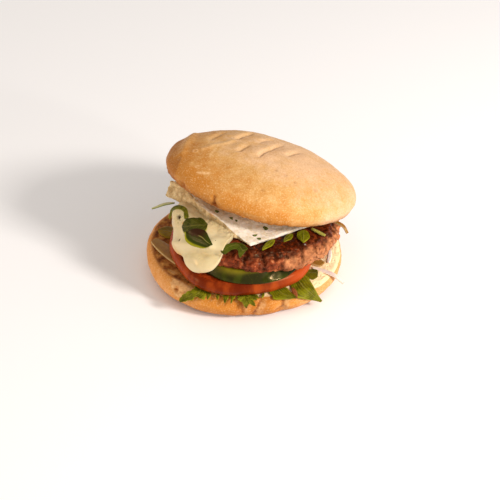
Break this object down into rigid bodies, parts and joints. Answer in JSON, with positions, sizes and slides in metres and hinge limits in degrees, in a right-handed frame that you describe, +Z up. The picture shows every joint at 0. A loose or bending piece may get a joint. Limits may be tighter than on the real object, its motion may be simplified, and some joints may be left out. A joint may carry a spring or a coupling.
{
  "type": "blue cheese burger",
  "caption": "Burger in a round soft bun with a beef patty, a slab of blue cheese melting over its edge, tomato, cucumber, onion and salad leaves; the top bun sits tipped.",
  "frame": {"origin": "middle of the bottom bun's flat base", "axes": "+Z up, +X to the right and +Y to the back, away from the side with the molten cheese"},
  "size_m": [0.1226, 0.1111, 0.0812],
  "materials": {
    "crust": "baked bun crust, satin, golden brown with a paler right side",
    "tomato": "ripe tomato slice, moist and glossy skin",
    "cucumber": "cucumber slice, dark green skin and pale cut faces",
    "patty": "seared ground beef, craggy and slightly greasy",
    "cheese": "blue cheese, creamy white with dark flecks",
    "melt": "molten cheese, cream yellow, soft sheen",
    "leaf": "salad leaf, thin and ruffled",
    "herb": "small herb leaf, dark green with a bright rim",
    "stem": "pale green stem",
    "onion": "raw onion, translucent and pale"
  },
  "bodies": {
    "root": {"bun_bottom": "crust", "bun_top": "crust", "tomato": "tomato", "cucumber_front": "cucumber", "cucumber_back": "cucumber", "patty": "patty", "cheese_slab": "cheese", "cheese_melt": "melt", "lettuce_left": "leaf", "lettuce_front": "leaf", "lettuce_middle": "leaf", "lettuce_right": "leaf", "lettuce_large": "leaf", "lettuce_small": "leaf", "leaf_back": "leaf", "onion_left": "onion", "onion_right": "onion", "onion_strip": "onion", "onion_arc": "onion", "onion_strand": "onion", "herb_lobe": "herb", "herb_upper": "herb", "herb_lower": "herb", "herb_hook": "herb", "herb_sprig": "herb", "herb_bud": "herb", "herb_round": "herb", "herb_blade": "herb", "herb_stem": "stem"}
  },
  "joints": []
}
